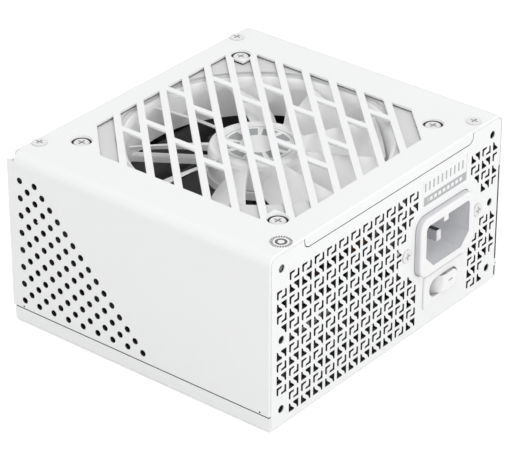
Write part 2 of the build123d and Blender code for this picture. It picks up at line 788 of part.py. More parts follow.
rocker_turn = math.radians(rocker_tilt)
rocker_plane = Plane(
    origin=(switch_x, rocker_axis_y, switch_z),
    x_dir=(math.cos(rocker_turn), -math.sin(rocker_turn), 0),
    z_dir=(0, 0, 1),
)
rocker_face_plane = Plane(
    origin=(switch_x, rocker_axis_y, switch_z),
    x_dir=(math.cos(rocker_turn), -math.sin(rocker_turn), 0),
    z_dir=(-math.sin(rocker_turn), -math.cos(rocker_turn), 0),
)
rocker_half = 7.55
rocker_crest = (rocker_proud + rocker_axis_y - rear_face) / math.cos(rocker_turn)
rocker_end = rocker_crest - rocker_half * math.tan(rocker_turn)
with BuildPart() as switch_rocker:
    # two flat faces that meet in a rounded crest, and the nub that drives the spring
    with BuildSketch(rocker_plane):
        Polygon(
            (-rocker_half, -rocker_end),
            (0, -rocker_crest),
            (rocker_half, -rocker_end),
            (rocker_half, 1.6),
            (1.4, 2.4),
            (1.0, 4.6),
            (-1.0, 4.6),
            (-1.4, 2.4),
            (-rocker_half, 1.6),
            align=None,
        )
        fillet(vertices().sort_by_distance((0, -rocker_crest, 0))[0], radius=2.2)
    extrude(amount=3.3, both=True)
    with BuildSketch(rocker_face_plane):
        SlotOverall(2 * rocker_half, 6.6)
    extrude(amount=12.0, both=True, mode=Mode.INTERSECT)
    with Locations(rocker_plane):
        Cylinder(1.1, 9.0)
    # stroke mark sunk into the raised half
    with BuildSketch(rear_plane.offset(rocker_proud - 0.2)):
        with Locations((switch_x + 2.7, switch_z)):
            Rectangle(2.3, 0.5)
    extrude(amount=1.0, mode=Mode.SUBTRACT)

with BuildPart() as switch_terminals:
    with BuildSketch(rear_plane.offset(-14.0)):
        with Locations((switch_x, switch_z)):
            with GridLocations(6.4, 1, 3, 1):
                Rectangle(4.6, 0.8)
    extrude(amount=-4.6)

# ---------------------------------------------------------------- main board and supports
standoff_spacing_x = 106.0
standoff_spacing_y = 72.0
board_middle_y = (board_rear + board_front) / 2

with BuildPart() as insulation_sheet:
    with BuildSketch(Plane.XY.offset(sheet + 0.05)):
        with Locations((0, board_middle_y)):
            RectangleRounded(118.0, 82.0, 2.0)
        with GridLocations(standoff_spacing_x, standoff_spacing_y, 2, 2):
            Circle(3.2, mode=Mode.SUBTRACT)
    extrude(amount=0.3)

with BuildPart() as standoffs:
    with BuildSketch(Plane.XY.offset(sheet)):
        with GridLocations(standoff_spacing_x, standoff_spacing_y, 2, 2):
            RegularPolygon(2.9, 6)
    extrude(amount=board_under - sheet)
    with BuildSketch(Plane.XY.offset(0.05)):
        with GridLocations(standoff_spacing_x, standoff_spacing_y, 2, 2):
            Circle(1.5)
    extrude(amount=sheet)
    with BuildSketch(Plane.XY.offset(1.6)):
        with GridLocations(standoff_spacing_x, standoff_spacing_y, 2, 2):
            Circle(1.53)
    extrude(amount=5.0, mode=Mode.SUBTRACT)

with BuildPart() as main_board:
    with BuildSketch(Plane.XY.offset(board_under)):
        with Locations((0, board_middle_y)):
            Rectangle(board_right - board_left, board_front - board_rear)
        with GridLocations(standoff_spacing_x, standoff_spacing_y, 2, 2):
            Circle(1.6, mode=Mode.SUBTRACT)
    extrude(amount=board_thick)

with BuildPart() as board_screws:
    with BuildSketch(Plane.XY.offset(board_top)):
        with GridLocations(standoff_spacing_x, standoff_spacing_y, 2, 2):
            Circle(2.75)
    extrude(amount=1.8)
    fillet(board_screws.edges().group_by(Axis.Z)[-1], radius=0.7)
    with BuildSketch(Plane.XY.offset(board_top + 1.0)):
        with GridLocations(standoff_spacing_x, standoff_spacing_y, 2, 2):
            Rectangle(2.8, 0.6)
            Rectangle(0.6, 2.8)
    extrude(amount=1.0, mode=Mode.SUBTRACT)
    with BuildSketch(Plane.XY.offset(board_top)):
        with GridLocations(standoff_spacing_x, standoff_spacing_y, 2, 2):
            Circle(1.5)
    extrude(amount=-4.6)

# ---------------------------------------------------------------- mains side parts
x_cap_places = [(41.0, -31.6), (21.0, -31.6)]
with BuildPart() as x_capacitors:
    with BuildSketch(Plane.XY.offset(board_top)):
        with Locations(*x_cap_places):
            Rectangle(18.0, 7.5)
    extrude(amount=14.0)
    fillet(x_capacitors.edges().group_by(Axis.Z)[-1], radius=0.6)

with BuildPart() as y_capacitors:
    for x in (6.0, -1.0):
        with Locations(Location((x, -33.0, board_top + 6.0), (0, 90, 0))):
            Cylinder(4.5, 3.4)
        for y in (-35.4, -30.6):
            with Locations((x, y, board_top)):
                Cylinder(0.35, 5.0, align=(Align.CENTER, Align.CENTER, Align.MIN))

with BuildPart() as line_fuse:
    fuse_z = board_top + 4.0
    with Locations(Location((-14.0, -33.0, fuse_z), (0, 90, 0))):
        Cylinder(2.6, 16.0)
        Cylinder(0.4, 21.0)
    with Locations(Location((-20.5, -33.0, fuse_z), (0, 90, 0)),
                   Location((-7.5, -33.0, fuse_z), (0, 90, 0))):
        Cylinder(3.0, 4.0)
    for x in (-24.1, -3.9):
        with Locations((x, -33.0, board_top)):
            Cylinder(0.4, 4.4, align=(Align.CENTER, Align.CENTER, Align.MIN))

with BuildPart() as inrush_thermistor:
    with Locations(Location((-33.0, -33.0, board_top + 8.5), (90, 0, 0))):
        Cylinder(6.5, 4.5)
    fillet(inrush_thermistor.edges(), radius=1.2)
    for x in (-36.5, -29.5):
        with Locations((x, -33.0, board_top)):
            Cylinder(0.5, 5.0, align=(Align.CENTER, Align.CENTER, Align.MIN))

with BuildPart() as bypass_relay:
    with BuildSketch(Plane.XY.offset(board_top)):
        with Locations((-50.0, -24.0)):
            RectangleRounded(12.0, 16.0, 0.6)
    extrude(amount=15.0)
    chamfer(bypass_relay.edges().group_by(Axis.Z)[-1], length=0.5)


def ring_core(place, outer, inner, tall, base):
    """Flat ring with rounded edges, standing on its base height."""
    with BuildSketch(Plane.XY.offset(base)) as ring:
        with Locations(place):
            Circle(outer)
            Circle(inner, mode=Mode.SUBTRACT)
    extrude(ring.sketch, amount=tall)


def ring_winding(place, outer, inner, tall, base, start, arc, wire):
    """Shell of wire wrapped around part of a flat ring."""
    angle = math.radians(start)
    profile_plane = Plane(
        origin=(place[0], place[1], base + tall / 2),
        x_dir=(math.cos(angle), math.sin(angle), 0),
        z_dir=(math.sin(angle), -math.cos(angle), 0),
    )
    with BuildSketch(profile_plane) as shell:
        with Locations(((outer + inner) / 2, 0)):
            RectangleRounded(outer - inner + 2 * wire, tall + 2 * wire, wire * 0.9)
            Rectangle(outer - inner + 0.02, tall + 0.02, mode=Mode.SUBTRACT)
    revolve(shell.sketch, axis=Axis((place[0], place[1], 0), (0, 0, 1)), revolution_arc=arc)


choke_places = [(46.0, -17.0), (25.0, -17.6)]
choke_base = board_top + 1.4
with BuildPart() as choke_cores:
    for place in choke_places:
        ring_core(place, 8.8, 5.0, 8.0, choke_base)

with BuildPart() as choke_windings:
    for place in choke_places:
        ring_winding(place, 8.8, 5.0, 8.0, choke_base, 20.0, 140.0, 0.9)
        ring_winding(place, 8.8, 5.0, 8.0, choke_base, 200.0, 140.0, 0.9)
        for side in (-1, 1):
            for lead in (-1, 1):
                with Locations((place[0] + 6.0 * side, place[1] + 5.0 * lead, board_top)):
                    Cylinder(0.45, 0.8, align=(Align.CENTER, Align.CENTER, Align.MIN))

pfc_place = (-3.0, -10.0)
with BuildPart() as pfc_choke_core:
    ring_core(pfc_place, 13.2, 7.0, 11.0, board_top + 1.6)

with BuildPart() as pfc_choke_winding:
    ring_winding(pfc_place, 13.2, 7.0, 11.0, board_top + 1.6, 110.0, 320.0, 1.1)

with BuildPart() as bulk_capacitor:
    with BuildSketch(Plane.XY.offset(board_top)):
        with Locations((41.5, 10.0)):
            Circle(15.0)
    extrude(amount=34.0)
    fillet(bulk_capacitor.edges().group_by(Axis.Z)[-1], radius=1.2)
    fillet(bulk_capacitor.edges().group_by(Axis.Z)[0], radius=0.8)
    # rolled groove near the foot and vent cross on the top
    with Locations((41.5, 10.0, board_top + 4.0)):
        Torus(15.3, 0.8, mode=Mode.SUBTRACT)
    with BuildSketch(Plane.XY.offset(board_top + 34.0)):
        with Locations(Location((41.5, 10.0), 45)):
            Rectangle(16.0, 0.7)
            Rectangle(0.7, 16.0)
    extrude(amount=-0.4, mode=Mode.SUBTRACT)

# ---------------------------------------------------------------- heatsinks and power parts
sink_top = 41.0
primary_transistor_y = (21.8, 32.6)
secondary_transistor_y = (10.0, 21.0, 32.0)
transistor_base = 12.0
screw_z = transistor_base + 17.2

with BuildPart() as primary_heatsink:
    with BuildSketch(Plane.XY.offset(board_top + 0.8)):
        with Locations((20.5, 16.5)):
            Rectangle(3.0, 43.0)
        with Locations((23.4, 16.5)):
            with GridLocations(1, 4.2, 1, 11):
                Rectangle(3.0, 1.0)
    extrude(amount=sink_top - board_top - 0.8)
    with Locations((20.5, -3.0, board_top), (20.5, 36.0, board_top)):
        Cylinder(0.9, 1.2, align=(Align.CENTER, Align.CENTER, Align.MIN))
    with BuildSketch(Plane.YZ.offset(19.0)):
        with Locations(*[(y, screw_z) for y in primary_transistor_y]):
            Circle(1.55)
    extrude(amount=3.0, mode=Mode.SUBTRACT)

with BuildPart() as secondary_heatsink:
    with BuildSketch(Plane.XY.offset(board_top + 0.8)):
        with Locations((-26.0, 21.0)):
            Rectangle(3.0, 34.0)
        with Locations((-23.4, 21.0)):
            with GridLocations(1, 4.125, 1, 9):
                Rectangle(2.4, 1.0)
    extrude(amount=sink_top - board_top - 0.8)
    with Locations((-26.0, 6.0, board_top), (-26.0, 36.0, board_top)):
        Cylinder(0.9, 1.2, align=(Align.CENTER, Align.CENTER, Align.MIN))
    with BuildSketch(Plane.YZ.offset(-27.5)):
        with Locations(*[(y, screw_z) for y in secondary_transistor_y]):
            Circle(1.55)
    extrude(amount=3.0, mode=Mode.SUBTRACT)

transistor_places = [(19.0, y, -1) for y in primary_transistor_y]
transistor_places += [(-27.5, y, -1) for y in secondary_transistor_y]
with BuildPart() as power_transistors:
    for face_x, y, side in transistor_places:
        # moulded body, metal tab and three legs
        with Locations((face_x + side * 2.25, y, transistor_base)):
            Box(4.5, 10.0, 14.0, align=(Align.CENTER, Align.CENTER, Align.MIN))
        with Locations((face_x + side * 0.65, y, transistor_base)):
            Box(1.3, 10.0, 20.0, align=(Align.CENTER, Align.CENTER, Align.MIN))
        with BuildSketch(Plane.YZ.offset(face_x - 1.5)):
            with Locations((y, screw_z)):
                Circle(1.6)
        extrude(amount=1.6, mode=Mode.SUBTRACT)
        for leg in (-2.54, 0, 2.54):
            with Locations((face_x + side * 2.6, y + leg, board_top)):
                Box(0.5, 0.8, transistor_base - board_top + 0.1,
                    align=(Align.CENTER, Align.CENTER, Align.MIN))

with BuildPart() as transistor_screws:
    for face_x, y, side in transistor_places:
        with BuildSketch(Plane.YZ.offset(face_x - 1.3)):
            with Locations((y, screw_z)):
                Circle(2.75)
        extrude(amount=-1.5)
        with BuildSketch(Plane.YZ.offset(face_x - 1.4)):
            with Locations((y, screw_z)):
                Circle(1.5)
        extrude(amount=4.2)

with BuildPart() as bridge_rectifier:
    with Locations((19.0, 5.5, 12.0)):
        Box(4.2, 19.0, 17.0, align=(Align.MAX, Align.CENTER, Align.MIN))
    chamfer(bridge_rectifier.edges().filter_by(Axis.Z).group_by(Axis.X)[0], length=0.6)
    for step in (-1.5, -0.5, 0.5, 1.5):
        with Locations((17.0, 5.5 + 5.0 * step, board_top)):
            Box(0.8, 1.2, 5.5, align=(Align.CENTER, Align.CENTER, Align.MIN))

# ---------------------------------------------------------------- transformers
transformer_x = -4.0
transformer_y = 22.0
core_base = board_top + 2.0
with BuildPart() as transformer_core:
    with BuildSketch(Plane.XZ.offset(-transformer_y - 11.0)):
        with Locations((transformer_x, core_base + 13.0)):
            Rectangle(30.0, 26.0)
            with GridLocations(16.0, 1, 2, 1):
                Rectangle(6.0, 17.0, mode=Mode.SUBTRACT)
    extrude(amount=22.0)
    chamfer(transformer_core.edges().filter_by(Axis.Y).group_by(Axis.Z)[-1], length=0.5)

with BuildPart() as transformer_winding:
    with BuildSketch(Plane.XY.offset(core_base + 4.7)):
        with Locations((transformer_x, transformer_y)):
            RectangleRounded(20.6, 31.0, 4.0)
            Rectangle(10.1, 22.1, mode=Mode.SUBTRACT)
    extrude(amount=16.6)
    # coil former's foot with its side cheeks
    with BuildSketch(Plane.XY.offset(board_top)):
        with Locations((transformer_x, transformer_y)):
            Rectangle(26.0, 31.0)
    extrude(amount=1.9)
    for side in (-1, 1):
        with Locations((transformer_x, transformer_y + side * 14.3, board_top + 1.9)):
            Box(20.6, 2.4, 4.9, align=(Align.CENTER, Align.CENTER, Align.MIN))

standby_x = -31.0
standby_y = -14.0
with BuildPart() as standby_transformer_core:
    with BuildSketch(Plane.XZ.offset(-standby_y - 5.5)):
        with Locations((standby_x, board_top + 1.6 + 7.5)):
            Rectangle(14.0, 15.0)
            with GridLocations(7.8, 1, 2, 1):
                Rectangle(3.0, 10.0, mode=Mode.SUBTRACT)
    extrude(amount=11.0)

with BuildPart() as standby_transformer_winding:
    with BuildSketch(Plane.XY.offset(board_top + 1.6 + 2.7)):
        with Locations((standby_x, standby_y)):
            RectangleRounded(10.6, 17.0, 2.0)
            Rectangle(4.9, 11.1, mode=Mode.SUBTRACT)
    extrude(amount=9.6)
    with BuildSketch(Plane.XY.offset(board_top)):
        with Locations((standby_x, standby_y)):
            Rectangle(13.0, 17.0)
    extrude(amount=1.5)
    for side in (-1, 1):
        with Locations((standby_x, standby_y + side * 7.6, board_top + 1.5)):
            Box(10.6, 1.6, 3.0, align=(Align.CENTER, Align.CENTER, Align.MIN))

# ---------------------------------------------------------------- output side parts
with BuildPart() as output_capacitors:
    with BuildSketch(Plane.XY.offset(board_top)):
        with Locations((-46.0, 16.0)):
            with GridLocations(11.0, 11.0, 2, 3):
                Circle(4.9)
    extrude(amount=22.0)
    fillet(output_capacitors.edges().group_by(Axis.Z)[-1], radius=0.7)
    with Locations((-46.0, 16.0, board_top + 2.4)):
        with GridLocations(11.0, 11.0, 2, 3):
            Torus(5.2, 0.55, mode=Mode.SUBTRACT)

output_choke_place = (-47.0, -8.0)
with BuildPart() as output_choke_core:
    ring_core(output_choke_place, 6.2, 3.4, 6.0, board_top + 1.3)

with BuildPart() as output_choke_winding:
    ring_winding(output_choke_place, 6.2, 3.4, 6.0, board_top + 1.3, 60.0, 300.0, 0.9)

control_y = 39.5
with BuildPart() as control_board:
    with BuildSketch(Plane.XZ.offset(-control_y - 1.2)):
        with Locations((-2.0, board_top + 13.0)):
            Rectangle(32.0, 24.0)
        with Locations((-2.0, board_top + 0.5)):
            Rectangle(26.0, 1.0)
    extrude(amount=1.2)

with BuildPart() as control_chips:
    with Locations((-9.0, control_y, 26.0), (3.0, control_y, 24.0)):
        Box(7.0, 1.1, 6.0, align=(Align.CENTER, Align.MAX, Align.CENTER))
    with Locations((-2.0, control_y, 14.0)):
        with GridLocations(5.0, 1, 5, 1):
            Box(2.0, 0.7, 1.2, align=(Align.CENTER, Align.MAX, Align.CENTER))

connector_y = 43.4
socket_back = connector_y + 1.6
socket_face = half_depth - 0.1
with BuildPart() as connector_board:
    with Locations((0, connector_y, 24.5)):
        Box(112.0, 1.6, 39.0, align=(Align.CENTER, Align.MIN, Align.CENTER))

def socket_cells(side):
    """Square faces of the given side, one for every contact place of every socket."""
    cells = []
    for x, z, columns in socket_places:
        for column in range(columns):
            for row in (-0.5, 0.5):
                place = Location((x + 4.2 * (column - (columns - 1) / 2), z + 4.2 * row))
                cells.append(place * Rectangle(side, side, mode=Mode.PRIVATE))
    return cells


with BuildPart() as output_sockets:
    with BuildSketch(Plane.XZ.offset(-socket_face)):
        for x, z, columns in socket_places:
            with Locations((x, z)):
                RectangleRounded(4.2 * columns + 1.4, 9.8, 0.5)
            with Locations((x, z + 5.4)):
                Rectangle(4.6, 1.6)
    extrude(amount=socket_face - socket_back)
    with BuildSketch(Plane.XZ.offset(-socket_face)):
        add(socket_cells(3.4))
    extrude(amount=8.0, mode=Mode.SUBTRACT)
    with BuildSketch(Plane.XZ.offset(-socket_face)):
        add(socket_cells(1.12))
    extrude(amount=socket_face - socket_back, mode=Mode.SUBTRACT)

with BuildPart() as socket_contacts:
    with BuildSketch(Plane.XZ.offset(-socket_face + 1.6)):
        add(socket_cells(1.1))
    extrude(amount=socket_face - 1.6 - socket_back)

with BuildPart() as board_link_bars:
    for x in (-44.0, -34.0, 28.0, 38.0):
        with BuildSketch(Plane.YZ.offset(x - 2.5)):
            with BuildLine():
                Polyline((38.4, board_top), (40.4, board_top), (40.4, board_top + 5.0),
                         (connector_y, board_top + 5.0), (connector_y, board_top + 6.0),
                         (39.4, board_top + 6.0), (39.4, board_top + 1.0),
                         (38.4, board_top + 1.0), close=True)
            make_face()
        extrude(amount=5.0)

# ---------------------------------------------------------------- wires
def wire_along(corners, bend, radius):
    """Round wire that follows straight runs with bends between them."""
    with BuildLine() as route:
        FilletPolyline(*corners, radius=bend)
    with BuildSketch(Plane(origin=route.line @ 0, z_dir=route.line % 0)) as section:
        Circle(radius)
    sweep(sections=section.sketch, path=route.line)


with BuildPart() as mains_wires:
    wire_along([(36.9, -38.4, 13.5), (36.9, -38.4, 16.5), (36.1, -36.25, 19.5),
                (36.1, -36.25, 28.0), (36.1, -31.4, 31.7)], 1.2, 0.75)
    wire_along([(22.2, -29.5, 32.6), (22.2, -29.5, 26.5), (10.2, -29.5, 26.5),
                (10.2, -29.5, board_top)], 2.5, 0.75)
    wire_along([(24.1, -37.0, 12.5), (24.1, -37.0, board_top + 2.0),
                (24.1, -36.95, board_top)], 0.5, 0.75)

with BuildPart() as earth_wire:
    wire_along([(29.2, -33.0, 28.4), (29.2, -33.0, 23.6), (7.6, -33.0, 23.6),
                (7.6, -43.5, 23.6), (7.6, -43.5, 1.9), (6.4, -46.4, 1.9)], 1.6, 0.8)
    with BuildSketch(Plane.XY.offset(sheet)):
        with Locations((2.0, -47.0)):
            Circle(3.2)
            Circle(1.6, mode=Mode.SUBTRACT)
    extrude(amount=0.6)
    with Locations((6.1, -47.0, sheet)):
        Box(2.2, 2.2, 1.4, align=(Align.CENTER, Align.CENTER, Align.MIN))

with BuildPart() as earth_screw:
    with BuildSketch(Plane.XY.offset(sheet + 0.6)):
        with Locations((2.0, -47.0)):
            Circle(1.5)
    extrude(amount=-sheet - 0.5)
    with BuildSketch(Plane.XY.offset(sheet + 0.6)):
        with Locations((2.0, -47.0)):
            Circle(2.8)
    extrude(amount=1.7)
    with BuildSketch(Plane.XY.offset(sheet + 1.5)):
        with Locations((2.0, -47.0)):
            Rectangle(2.4, 0.5)
            Rectangle(0.5, 2.4)
    extrude(amount=1.0, mode=Mode.SUBTRACT)

with BuildPart() as fan_cable:
    for shift_x, shift_y in ((0, 0), (-0.6, 1.2)):
        with BuildLine() as route:
            Spline(
                (-13.5 + shift_x, -5.1 + shift_y, fan_floor - 0.6),
                (-34.0 + shift_x, -12.6 + shift_y, 45.0),
                (-41.0 + shift_x, -20.5 + shift_y, 36.0),
                (-39.0 + shift_x, -26.0 + shift_y, 22.0),
                (-35.6 + shift_x, -27.2 + shift_y, 12.0),
                tangents=((-0.94, -0.34, -0.02), (0.3, 0, -1.0)),
            )
        with BuildSketch(Plane(origin=route.line @ 0, z_dir=route.line % 0)):
            Circle(0.5)
        sweep(path=route.line)
    with Locations((-35.8, -26.6, board_top)):
        Box(6.4, 3.8, 6.0, align=(Align.CENTER, Align.CENTER, Align.MIN))

exports = {
    "base_chassis": base_chassis,
    "top_cover": top_cover,
    "cover_screws": cover_screws,
    "seal_disc": seal_disc,
    "fan_screws": fan_screws,
    "inlet_label": inlet_label,
    "rating_label": rating_label,
    "fan_frame": fan_frame,
    "fan_rotor": fan_rotor,
    "hub_sticker": hub_sticker,
    "rotor_magnet": rotor_magnet,
    "fan_shaft": fan_shaft,
    "retaining_clip": retaining_clip,
    "fan_bearing": fan_bearing,
    "stator_core": stator_core,
    "stator_coils": stator_coils,
    "fan_circuit_board": fan_circuit_board,
    "inlet_housing": inlet_housing,
    "inlet_pins": inlet_pins,
    "inlet_screws": inlet_screws,
    "switch_housing": switch_housing,
    "switch_rocker": switch_rocker,
    "switch_terminals": switch_terminals,
    "insulation_sheet": insulation_sheet,
    "standoffs": standoffs,
    "main_board": main_board,
    "board_screws": board_screws,
    "x_capacitors": x_capacitors,
    "y_capacitors": y_capacitors,
    "line_fuse": line_fuse,
    "inrush_thermistor": inrush_thermistor,
    "bypass_relay": bypass_relay,
    "choke_cores": choke_cores,
    "choke_windings": choke_windings,
    "pfc_choke_core": pfc_choke_core,
    "pfc_choke_winding": pfc_choke_winding,
    "bulk_capacitor": bulk_capacitor,
    "primary_heatsink": primary_heatsink,
    "secondary_heatsink": secondary_heatsink,
    "power_transistors": power_transistors,
    "transistor_screws": transistor_screws,
    "bridge_rectifier": bridge_rectifier,
    "transformer_core": transformer_core,
    "transformer_winding": transformer_winding,
    "standby_transformer_core": standby_transformer_core,
    "standby_transformer_winding": standby_transformer_winding,
    "output_capacitors": output_capacitors,
    "output_choke_core": output_choke_core,
    "output_choke_winding": output_choke_winding,
    "control_board": control_board,
    "control_chips": control_chips,
    "connector_board": connector_board,
    "output_sockets": output_sockets,
    "socket_contacts": socket_contacts,
    "board_link_bars": board_link_bars,
    "mains_wires": mains_wires,
    "earth_wire": earth_wire,
    "earth_screw": earth_screw,
    "fan_cable": fan_cable,
}
for label, builder in exports.items():
    builder.part.label = label
    export_step(builder.part, f"parts/{label}.step")
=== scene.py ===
"""Looks of the compact power supply unit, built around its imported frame.

Metres, in the frame's own axes: +Z up, the mains panel faces -Y, the fan looks up.
"""
import json
import math

import bpy
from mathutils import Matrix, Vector


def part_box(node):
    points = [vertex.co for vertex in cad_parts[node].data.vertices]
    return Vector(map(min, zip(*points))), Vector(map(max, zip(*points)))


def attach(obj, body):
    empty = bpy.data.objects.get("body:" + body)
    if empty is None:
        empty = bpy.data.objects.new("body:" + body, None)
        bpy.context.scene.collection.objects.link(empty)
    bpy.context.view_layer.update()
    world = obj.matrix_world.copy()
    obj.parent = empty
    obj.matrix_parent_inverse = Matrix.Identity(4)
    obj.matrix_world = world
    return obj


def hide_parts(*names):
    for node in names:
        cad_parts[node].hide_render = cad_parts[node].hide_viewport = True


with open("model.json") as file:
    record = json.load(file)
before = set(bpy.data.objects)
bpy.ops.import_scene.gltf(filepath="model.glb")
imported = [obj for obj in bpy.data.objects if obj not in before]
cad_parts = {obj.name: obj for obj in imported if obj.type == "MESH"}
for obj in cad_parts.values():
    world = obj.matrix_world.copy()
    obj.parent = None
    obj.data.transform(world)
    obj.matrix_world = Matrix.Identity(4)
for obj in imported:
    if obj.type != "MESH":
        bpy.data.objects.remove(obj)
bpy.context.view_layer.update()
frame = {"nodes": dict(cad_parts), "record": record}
nodes = frame["nodes"]
MM = 0.001


# ------------------------------------------------------------------ node helpers
class Shader:
    """One material under construction, with short calls for the nodes it needs."""

    def __init__(self, name):
        self.mat = bpy.data.materials.new(name)
        self.mat.use_nodes = True
        self.tree = self.mat.node_tree
        self.tree.nodes.clear()
        self.out = self.node("ShaderNodeOutputMaterial")
        self.bsdf = self.node("ShaderNodeBsdfPrincipled")
        self.link(self.bsdf.outputs[0], self.out.inputs[0])
        self.coords = self.node("ShaderNodeTexCoord").outputs["Object"]

    def node(self, kind, **settings):
        made = self.tree.nodes.new(kind)
        for key, value in settings.items():
            setattr(made, key, value)
        return made

    def link(self, a, b):
        self.tree.links.new(a, b)

    def feed(self, socket, value):
        """Sets a socket to a number or colour, or links an output to it."""
        if hasattr(value, "is_output"):
            self.link(value, socket)
        else:
            socket.default_value = value

    def math(self, op, a, b=0.0):
        made = self.node("ShaderNodeMath", operation=op)
        self.feed(made.inputs[0], a)
        self.feed(made.inputs[1], b)
        return made.outputs[0]

    def noise(self, scale, detail=3.0, rough=0.55, vector=None):
        made = self.node("ShaderNodeTexNoise")
        self.feed(made.inputs["Vector"], vector or self.coords)
        made.inputs["Scale"].default_value = scale
        made.inputs["Detail"].default_value = detail
        made.inputs["Roughness"].default_value = rough
        return made.outputs[0]

    def remap(self, value, a, b, c, d):
        made = self.node("ShaderNodeMapRange")
        self.feed(made.inputs[0], value)
        for slot_number, number in enumerate((a, b, c, d), start=1):
            made.inputs[slot_number].default_value = number
        return made.outputs[0]

    def mix(self, factor, a, b):
        made = self.node("ShaderNodeMix", data_type="RGBA")
        self.feed(made.inputs[0], factor)
        self.feed(made.inputs[6], a)
        self.feed(made.inputs[7], b)
        return made.outputs[2]

    def axes(self, vector=None):
        made = self.node("ShaderNodeSeparateXYZ")
        self.feed(made.inputs[0], vector or self.coords)
        return made.outputs

    def stretch(self, x, y, z):
        made = self.node("ShaderNodeMapping")
        self.link(self.coords, made.inputs[0])
        made.inputs["Scale"].default_value = (x, y, z)
        return made.outputs[0]

    def both(self, *tests):
        """1 where every test is 1."""
        total = tests[0]
        for test in tests[1:]:
            total = self.math("MULTIPLY", total, test)
        return total

    def band(self, value, low, high):
        """1 where value lies between low and high."""
        return self.both(self.math("GREATER_THAN", value, low), self.math("LESS_THAN", value, high))

    def length(self, a, b):
        """Length of the diagonal over a and b."""
        return self.math("SQRT", self.math("ADD", self.math("MULTIPLY", a, a),
                                           self.math("MULTIPLY", b, b)))

    def openness(self, reach, samples):
        """1 on free surfaces, falling to 0 in hollows narrower than reach."""
        made = self.node("ShaderNodeAmbientOcclusion", samples=samples)
        made.inputs["Distance"].default_value = reach
        return made.outputs["AO"]

    def normal(self):
        """Axes of the surface's own direction."""
        return self.axes(self.node("ShaderNodeTexCoord").outputs["Normal"])

    def bump(self, height, strength, distance, bevel=0.0):
        made = self.node("ShaderNodeBump")
        made.inputs["Strength"].default_value = strength
        made.inputs["Distance"].default_value = distance
        self.feed(made.inputs["Height"], height)
        if bevel > 0:
            edge = self.node("ShaderNodeBevel", samples=4)
            edge.inputs["Radius"].default_value = bevel
            self.link(edge.outputs[0], made.inputs["Normal"])
        self.link(made.outputs[0], self.bsdf.inputs["Normal"])

    def set(self, **values):
        names = {"color": "Base Color", "rough": "Roughness", "metal": "Metallic",
                 "specular": "Specular IOR Level",
                 "glow": "Emission Strength", "glow_color": "Emission Color"}
        for key, value in values.items():
            self.feed(self.bsdf.inputs[names[key]], value)


def rgb(r, g=None, b=None):
    return (r, r if g is None else g, r if b is None else b, 1.0)


def surface(name, color, rough=0.5, spread=0.06, tone=0.05, grain=1500.0, strength=0.15,
            depth=0.00005, metal=0.0, bevel=0.0, specular=0.5, stretch=None, hollow_shade_amount=0.0):
    """Common finish: mottled colour, uneven roughness and a fine grain in the bump, and, when asked
    for, painted shade that darkens hollows.
    """
    s = Shader(name)
    where = s.stretch(*stretch) if stretch else s.coords
    fine = s.noise(grain, 2.0, 0.6, where)
    broad = s.noise(grain / 22.0, 4.0, 0.6, where)
    dark = tuple(channel * (1.0 - tone) for channel in color[:3]) + (1.0,)
    tint = s.mix(s.remap(broad, 0.3, 0.7, 0.0, 1.0), dark, color)
    if hollow_shade_amount > 0:
        # painted shade: hollows found by ambient occlusion are darkened towards 45 % of the colour
        shade = s.remap(s.openness(0.004, 4), 0.2, 0.9, hollow_shade_amount, 0.0)
        hollow_shade_color = tuple(channel * 0.45 for channel in color[:3]) + (1.0,)
        tint = s.mix(shade, tint, hollow_shade_color)
    s.set(color=tint, rough=s.remap(broad, 0.25, 0.75, rough - spread, rough + spread),
          metal=metal, specular=specular)
    s.bump(fine, strength, depth, bevel)
    return s


# ------------------------------------------------------------------ places in the frame
def mount(name):
    """One mount of the record, by its name."""
    return next(entry for entry in frame["record"]["mounts"] if entry["name"] == name)


def middle_of(node):
    """Centre of a CAD node's box."""
    low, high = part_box(node)
    return (low + high) / 2


TRAY_LOW, TRAY_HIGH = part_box("base_chassis")
COVER_LOW, COVER_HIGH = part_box("top_cover")

# Inside the case a near-black painted shade stands in for the dark seen through vents and holes; the
# skins are the depths of sheet edge kept in paint colour.
SKIN = 0.78 * MM                        # a little less than the sheet's thickness
VENT_SKIN = 0.04 * MM                   # painted depth on the edges of the vents
LIP_SKIN = 0.34 * MM                    # painted depth on the lips of the fixing holes
SHADE_FLOOR = 0.77 * MM
BEND_RADIUS = 3.5 * MM                  # outer radius of the cover's long bends
BEND_X = TRAY_HIGH.x - BEND_RADIUS
BEND_Z = COVER_HIGH.z - BEND_RADIUS
VENT_LEFT = TRAY_LOW.x + 2.5 * MM
SIDE_HOLES_LOW, SIDE_HOLES_HIGH = 5.8 * MM, 57.0 * MM
HOLE_WALL = 0.73 * MM
# Painted shadow: a darker band across the gap of the side seam.
SEAM_LOW = COVER_LOW.z - 0.40 * MM      # gap between the cover's lower edge and the tray
SEAM_HIGH = COVER_LOW.z + 0.03 * MM
SEAM_X = TRAY_HIGH.x - 1.0 * MM
SEAM_SHADE = 0.75
NOTCH = (TRAY_HIGH.x - 5.5 * MM, COVER_HIGH.y - 4.5 * MM, COVER_HIGH.z - 6.5 * MM)

# Painted highlight on the blade's tip, below this y
BLADE_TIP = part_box("inlet_pins")[0].y + 0.8 * MM
# Height above which the fan frame's flat faces get painted shade
FAN_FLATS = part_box("fan_frame")[1].z - 1.1 * MM
ROCKER = middle_of("switch_rocker")
# Painted shade on the rocker's pressed half: the lean of its edge is drawn by position, not modelled.
SHADE_EDGE_LEAN = 0.5                        # how far the shaded half's edge leans, per unit of height
BOARD_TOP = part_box("main_board")[1].z / MM


